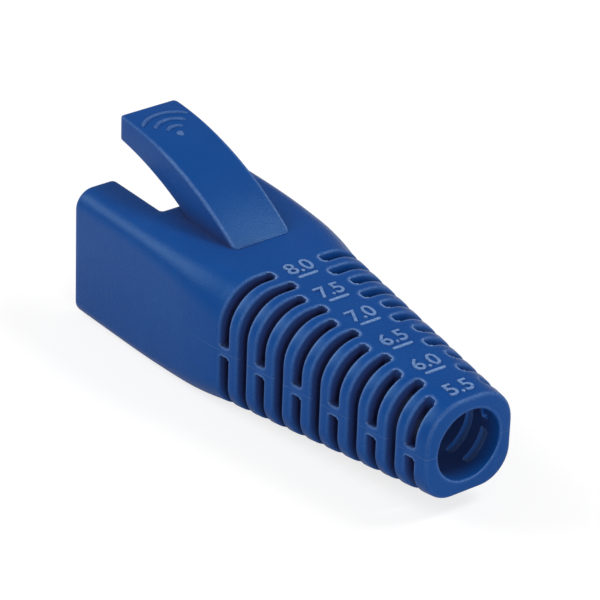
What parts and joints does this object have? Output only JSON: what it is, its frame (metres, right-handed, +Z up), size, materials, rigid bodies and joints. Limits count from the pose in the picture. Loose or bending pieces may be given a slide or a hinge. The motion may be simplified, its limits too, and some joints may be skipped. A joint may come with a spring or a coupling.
{
  "type": "rj45 strain relief boot",
  "caption": "Soft plastic boot that slips over the back of an RJ45 plug: square shroud with a latch lever and a slotted, tapered tail that guides the cable.",
  "frame": {"origin": "centre of the mouth face, on the cable axis and on the mould's parting plane", "axes": "+X along the cable from the mouth to the tail end, +Y across the boot, +Z up, towards the lever"},
  "size_m": [0.0389, 0.0138, 0.0154],
  "materials": {
    "blue_plastic": "soft satin moulding with a fine grain"
  },
  "bodies": {
    "root": {"strain_relief_boot": "blue_plastic"}
  },
  "joints": []
}
